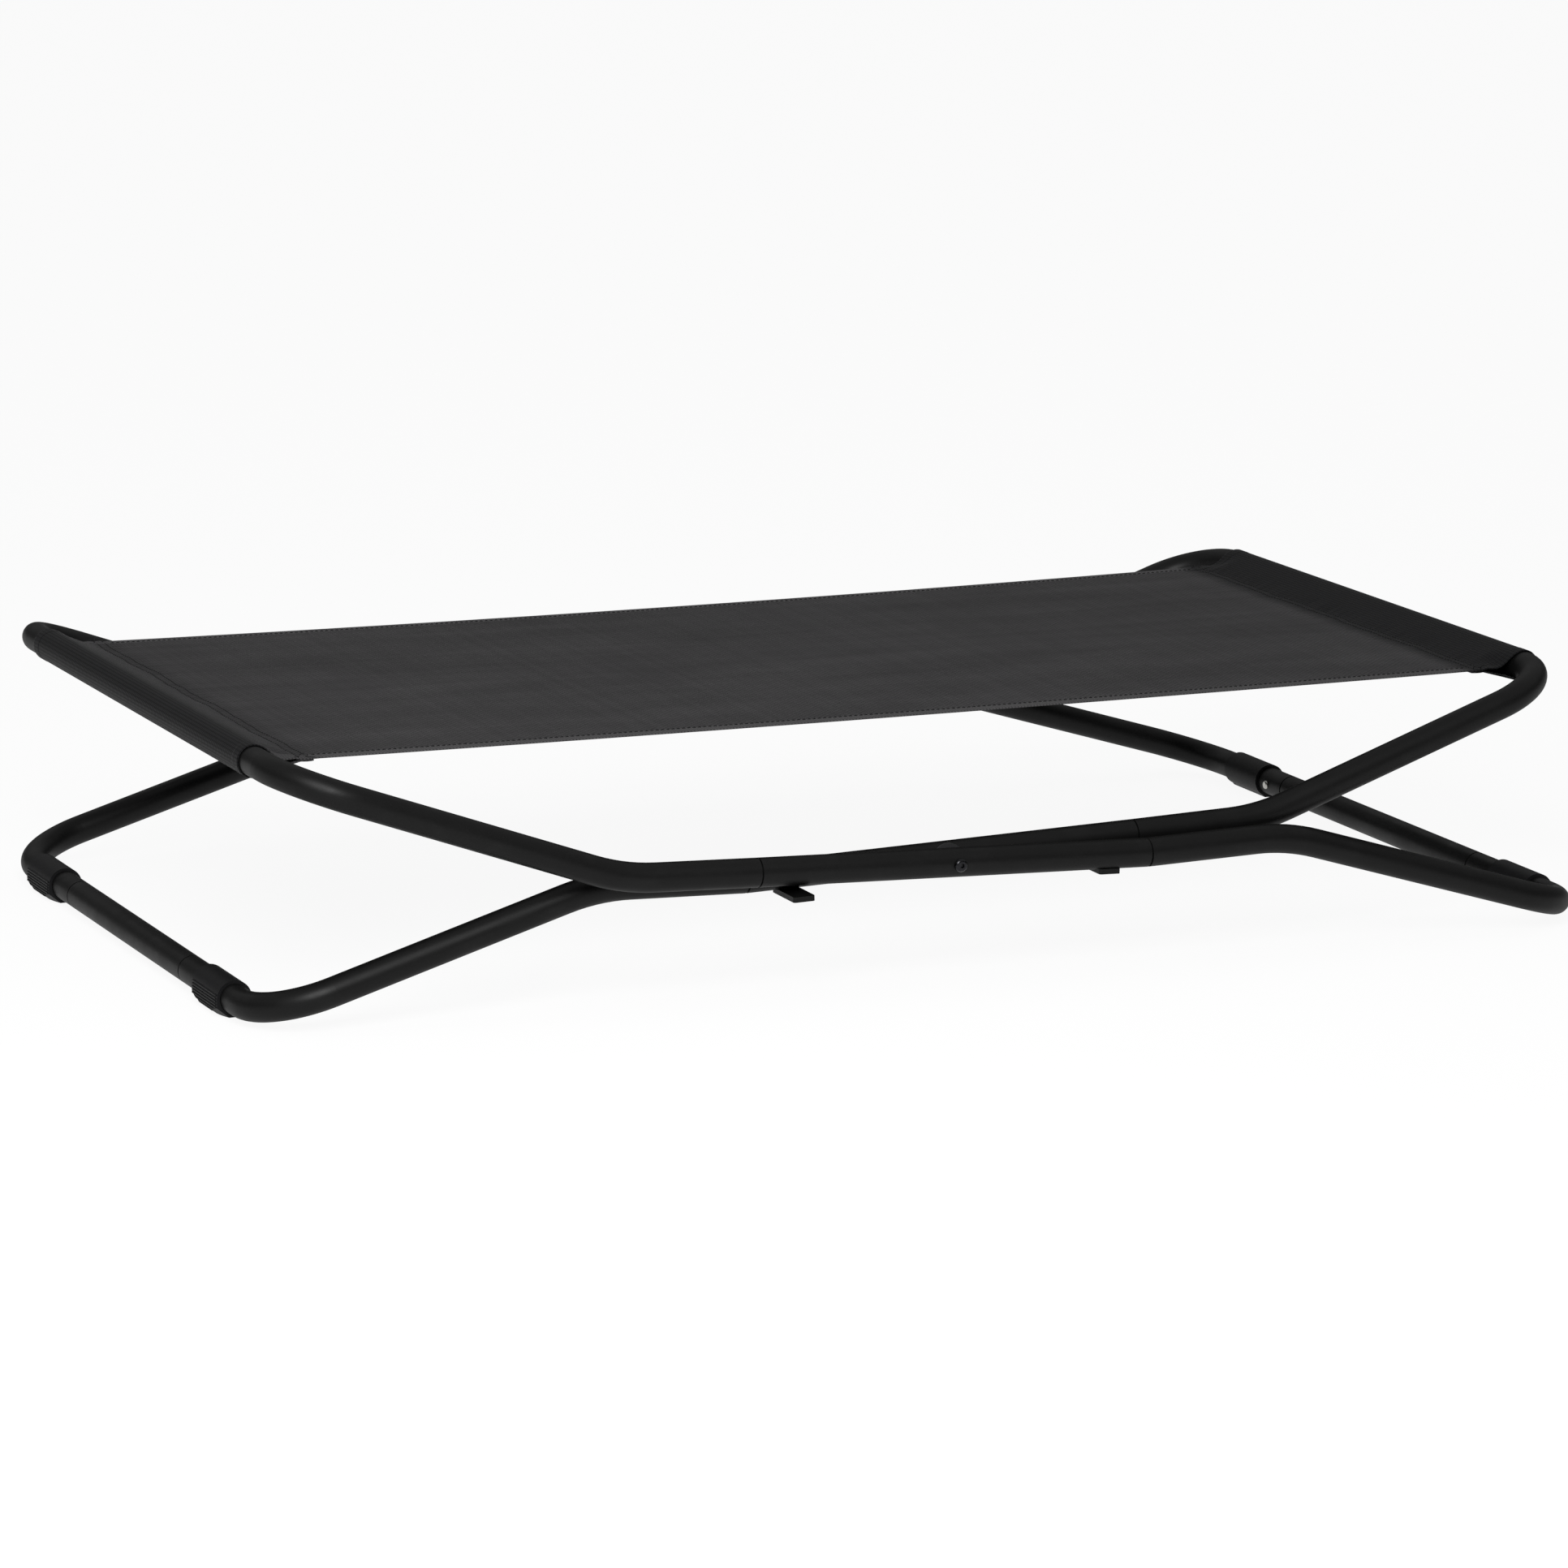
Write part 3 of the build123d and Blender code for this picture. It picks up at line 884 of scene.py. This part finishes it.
@dataclass
class Stitching:
    """Rows of lockstitch in thick thread: two along each seam and one along each hem.

    The shares of a loose end are parts of its length. Each row has two loose ends at either edge.
    """

    sling: Sling
    pitch: float = 4.2 * MM
    length: float = 3.4 * MM
    thread_r: float = 0.36 * MM
    tip_share: float = 0.7
    crown: float = 0.5 * MM
    bury: float = 0.3 * MM
    seam_rows: Pair = (35.0 * MM, 41.5 * MM)
    seam_end: float = 5.0 * MM
    hem_inset: float = 10.4 * MM
    hem_end: float = 2.0 * MM
    loose_end: float = 7.0 * MM
    loose_out: float = 0.8
    loose_lean: tuple[float, ...] = (-0.7, 0.4, -0.2, 0.6)
    loose_rise: tuple[float, ...] = (0.3, 0.55, 0.45, 0.1)
    stitch_stations: int = 5
    loose_stations: int = 7

    def stitches(self, start: np.ndarray, stop: np.ndarray) -> tuple[np.ndarray, list[np.ndarray]]:
        """Short humped strands between pairs of points on the cloth.

        A stitch's line is the chord between its ends, raised by a half sine and sunk at both ends.

        Args:
            start: First point of each stitch.
            stop: Last point of each stitch.
        Returns:
            Points and faces of all the stitches.
        """
        t = np.linspace(0.0, 1.0, self.stitch_stations)[None, :, None]
        up = np.array([0.0, 0.0, 1.0])
        hump = (self.crown + self.bury) * np.sin(pi * t) - self.bury
        centres = start[:, None] + (stop - start)[:, None] * t + up * hump
        ahead = (stop - start) / np.linalg.norm(stop - start, axis=1, keepdims=True)
        side = np.cross(up, ahead)[:, None]
        radius = self.thread_r * (self.tip_share + (1.0 - self.tip_share) * np.sin(pi * t[..., 0]))
        return round_strands(centres, -side, up, radius)

    def loose_ends(self, end: End) -> tuple[np.ndarray, list[np.ndarray]]:
        """Cut ends of thread that stick out past both ends of a seam, two from each row.

        With t from 0 to 1 along a cut end, it runs outwards by a share of t, leans along the bed
        by a share of t squared and rises by a share of the sine of a right angle's part t.

        Args:
            end: Which end of the bed.
        Returns:
            Points and faces of all the cut ends.
        """
        t = np.linspace(0.0, 1.0, self.loose_stations)[None, :, None]
        side = np.repeat([-1.0, 1.0], len(self.loose_lean))
        lean = np.tile(self.loose_lean, 2)[:, None, None]
        rise = np.tile(self.loose_rise, 2)[:, None, None]
        row = np.tile(np.repeat(self.seam_rows, 2), 2)
        start = self.sling.seam_top(end, row, side * (self.sling.half_width - self.seam_end))
        outwards = side[:, None, None]
        along, across, up = np.eye(3)
        run = (self.loose_out * t * outwards * across + lean * t**2 * along
               + rise * np.sin(pi / 2 * t) * up)
        return round_strands(start[:, None] + self.loose_end * run, -outwards * along, up,
                             np.array(self.tip_share * self.thread_r))

    def seam(self, end: End) -> bpy.types.Object:
        """Two rows along one sleeve's seam, with their loose ends.

        Args:
            end: Which end of the bed.
        Returns:
            The stitches as one mesh.
        """
        reach = self.sling.half_width - self.seam_end
        at = np.arange(-reach, reach - self.length, self.pitch)[None]
        row = np.array(self.seam_rows)[:, None]
        ends = [self.sling.seam_top(end, row, at + shift).reshape(-1, 3) for shift in (0.0, self.length)]
        points, faces = self.stitches(*ends)
        loose, more = self.loose_ends(end)
        faces += [block + len(points) for block in more]
        return mesh_object(f"{end.word}_seam_stitches", np.concatenate([points, loose]), faces)

    def hem(self) -> bpy.types.Object:
        """One row along each hem, from seam to seam.

        Returns:
            The stitches as one mesh.
        """
        reach = self.sling.bar_x - self.sling.tail_u - self.hem_end
        first = np.arange(-reach, reach - self.length, self.pitch)[None]
        y = np.array([[-1.0], [1.0]]) * (self.sling.half_width - self.hem_inset)
        ends = []
        for x in (first, first + self.length):
            z = self.sling.sheet_top(x, y) + self.sling.hem_over
            ends.append(together(x, self.sling.drawn_in(x, y), z).reshape(-1, 3))
        return mesh_object("hem_stitches", *self.stitches(*ends))

    def build(self, material: bpy.types.Material) -> list[bpy.types.Object]:
        """Makes all the rows and dresses them; each seam's rows move with the frame whose bar they go
        round.

        Args:
            material: The thread's finish.
        Returns:
            The pieces of stitching.
        """
        pieces = []
        for end in End:
            piece = self.seam(end)
            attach(piece, end.body.value)
            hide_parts(f"{end.word}_stitching")
            pieces.append(piece)
        hem = self.hem()
        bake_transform(hem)
        pieces.append(hem)
        for piece in pieces:
            piece.data.materials.append(material)
        return pieces


# Studio


@dataclass(frozen=True)
class Lamp:
    """What every lamp has: a name, the direction it comes from, its level, its aim and its distance.

    Its level is the brightness of a white card that faces it at the place it is aimed at.
    """

    name: str
    comes_from: Place
    level: float
    aimed_at: Place = (0.0, 0.0, 0.0)
    distance: float = 3.0

    def hang(self, data: bpy.types.Light) -> None:
        """Hangs the lamp at its distance from what it is aimed at, turned towards it.

        Args:
            data: The lamp's light.
        """
        lamp = bpy.data.objects.new(self.name, data)
        back = np.array(self.comes_from) / np.linalg.norm(self.comes_from)
        right = np.cross([0.0, 1.0, 0.0], back)
        right /= np.linalg.norm(right)
        turn = np.eye(4)
        turn[:3, :3] = np.stack([right, np.cross(back, right), back], axis=1)
        turn[:3, 3] = np.array(self.aimed_at) + self.distance * back
        lamp.matrix_world = Matrix(turn.tolist())
        bpy.context.scene.collection.objects.link(lamp)


@dataclass(frozen=True)
class SoftSun(Lamp):
    """Broad soft light from one side: a sun lamp with a wide disc, equally strong all over the floor."""

    spread_deg: float = 130.0

    def light(self) -> None:
        """Makes the lamp. A card that faces a sun of strength pi is as bright as a level of 1."""
        sun = bpy.data.lights.new(self.name, "SUN")
        sun.angle = radians(self.spread_deg)
        sun.energy = self.level * pi
        self.hang(sun)


@dataclass(frozen=True)
class SoftBox(Lamp):
    """Square window of light near the bed, which fades with distance."""

    side: float = 1.25

    def light(self) -> None:
        """Makes the lamp, with the watts that give its level at its distance."""
        window = bpy.data.lights.new(self.name, "AREA")
        window.size = self.side
        window.energy = self.level * (pi * self.distance) ** 2
        self.hang(window)


@dataclass
class Studio:
    """White floor, soft lights, an even world and the camera of the photograph."""

    floor_colour: str = "#fcfcfc"
    floor_roughness: float = 0.9
    floor_half: float = 40.0
    floor_drop: float = 0.2 * MM
    floor_own_light: float = 0.92
    world_colour: str = "#ffffff"
    world_level: float = 0.12
    overhead: SoftSun = SoftSun("overhead_light", comes_from=(0.0, 0.1, 1.0), level=0.31)
    key: SoftBox = SoftBox("key_light", comes_from=(-0.3, -0.75, 0.59), level=1.25,
                           aimed_at=(-0.49, -0.3, 0.19), distance=2.2)
    focal_px: float = 8699.6
    frame_px: float = 1932.0
    sensor_mm: float = 36.0
    camera_at: Place = (-2.09893, -4.97525, 1.18886)
    camera_turn_deg: Place = (78.483, -0.298, -22.832)
    camera_clip: Pair = (0.1, 200.0)

    def floor(self) -> bpy.types.Object:
        """Flat sheet of white card under the feet, which keeps a light shadow of the bed.

        Seen by the camera or in a reflection, a share of it is plain white of strength 1, as in
        a photograph that is exposed for the white ground. It lights the bed as plain card.

        Returns:
            The floor.
        """
        edge = np.array([-self.floor_half, self.floor_half])
        x, y = np.meshgrid(edge, edge, indexing="ij")
        points = np.stack([x.ravel(), y.ravel(), np.full(4, -self.floor_drop)], axis=1)
        sheet = mesh_object("floor", points, [grid_faces(2, 2)])
        card = Finish("white_card", self.floor_colour, self.floor_roughness)
        material, tree, shader = card.start(Specular_IOR_Level=0.0)
        rays = add_node(tree, "ShaderNodeLightPath").outputs
        seen = rays["Is Camera Ray"]
        for kind in ("Is Glossy Ray", "Is Transmission Ray"):
            seen = maths(tree, "MAXIMUM", seen, rays[kind])
        share = maths(tree, "MULTIPLY", seen, self.floor_own_light)
        white = add_node(tree, "ShaderNodeEmission", {"Color": linear("#ffffff"), "Strength": 1.0})
        both = add_node(tree, "ShaderNodeMixShader", {
            0: share, 1: shader.outputs[0], 2: white.outputs[0]})
        output = next(node for node in tree.nodes if node.type == "OUTPUT_MATERIAL")
        feed(tree, output, {"Surface": both.outputs[0]})
        sheet.data.materials.append(material)
        return sheet

    def light(self) -> None:
        """Sets the even world, the soft light from above and the softbox at the left front corner."""
        world = bpy.data.worlds.new("studio")
        world.use_nodes = True
        world.node_tree.nodes.clear()
        glow = add_node(world.node_tree, "ShaderNodeBackground", {
            "Color": linear(self.world_colour), "Strength": self.world_level})
        add_node(world.node_tree, "ShaderNodeOutputWorld", {"Surface": glow.outputs[0]})
        bpy.context.scene.world = world
        self.overhead.light()
        self.key.light()

    def camera(self) -> None:
        """Sets up the camera from its place, its turn and its focal length."""
        data = bpy.data.cameras.new("camera")
        data.sensor_width = self.sensor_mm
        data.lens = self.focal_px / self.frame_px * self.sensor_mm
        data.clip_start, data.clip_end = self.camera_clip
        eye = bpy.data.objects.new("camera", data)
        turn = Euler([radians(angle) for angle in self.camera_turn_deg], "XYZ")
        eye.matrix_world = Matrix.LocRotScale(self.camera_at, turn, None)
        bpy.context.scene.collection.objects.link(eye)
        bpy.context.scene.camera = eye

    def build(self) -> None:
        """Builds the floor, the light and the camera, and sets the plain view transform."""
        self.floor()
        self.light()
        self.camera()
        bpy.context.scene.view_settings.view_transform = "Standard"


# The whole bed


def finishes() -> dict[Slot, bpy.types.Material]:
    """Makes the finish of every slot.

    Returns:
        Finished material of each slot.
    """
    chosen = {
        Slot.TUBE: PowderCoat("satin_black_powder_coat", "#0a0a0a", 0.6),
        Slot.TAB: PowderCoat("satin_black_powder_coat_flat_steel", "#0a0a0a", 0.6),
        Slot.JOINER: MouldedPlastic("moulded_black_nylon", "#040404", 0.5, cloud_colour="#070707"),
        Slot.FOOT: MouldedPlastic("moulded_black_polypropylene", "#0c0c0d", 0.55),
        Slot.SCREW: PlatedSteel("bright_zinc_plate", "#c4c3bf", 0.3),
        Slot.BOLT: PlatedSteel("black_oxide_steel", "#3a3a3c", 0.24, speck_colour="#1d1d1f"),
        Slot.WASHER: MouldedPlastic("grey_nylon_spacer", "#2a2a2b", 0.5, cloud_colour="#343435"),
        Slot.NUT: PlatedSteel("dull_zinc_plate", "#a5a4a0", 0.36),
        Slot.MESH: CoatedYarnMesh("coated_yarn_mesh", "#393839", 0.5),
        Slot.THREAD: SewingThread("black_polyester_thread", "#111112", 0.6),
    }
    return {slot: finish.material() for slot, finish in chosen.items()}


def main() -> None:
    """Builds the bed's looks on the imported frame."""
    logging.basicConfig(level=logging.INFO, format="%(name)s: %(message)s")
    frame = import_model()
    Studio().build()
    materials = finishes()
    slot_of = {part["node"]: part["material_slot"] for part in frame["record"]["subparts"]}
    Frames(frame["nodes"], slot_of).dress(materials)
    low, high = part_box("inner_top_bar")
    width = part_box("sling_sheet")[1].y
    sling = Sling(half_width=width, bar_x=(low.x + high.x) / 2, bar_z=(low.z + high.z) / 2)
    cloth = sling.build()
    sling.finish(cloth, materials[Slot.MESH])
    thread = Stitching(sling).build(materials[Slot.THREAD])
    for piece in [cloth, *thread]:
        LOG.info("piece %s has %d faces", piece.name, len(piece.data.polygons))


if __name__ == "__main__":
    main()
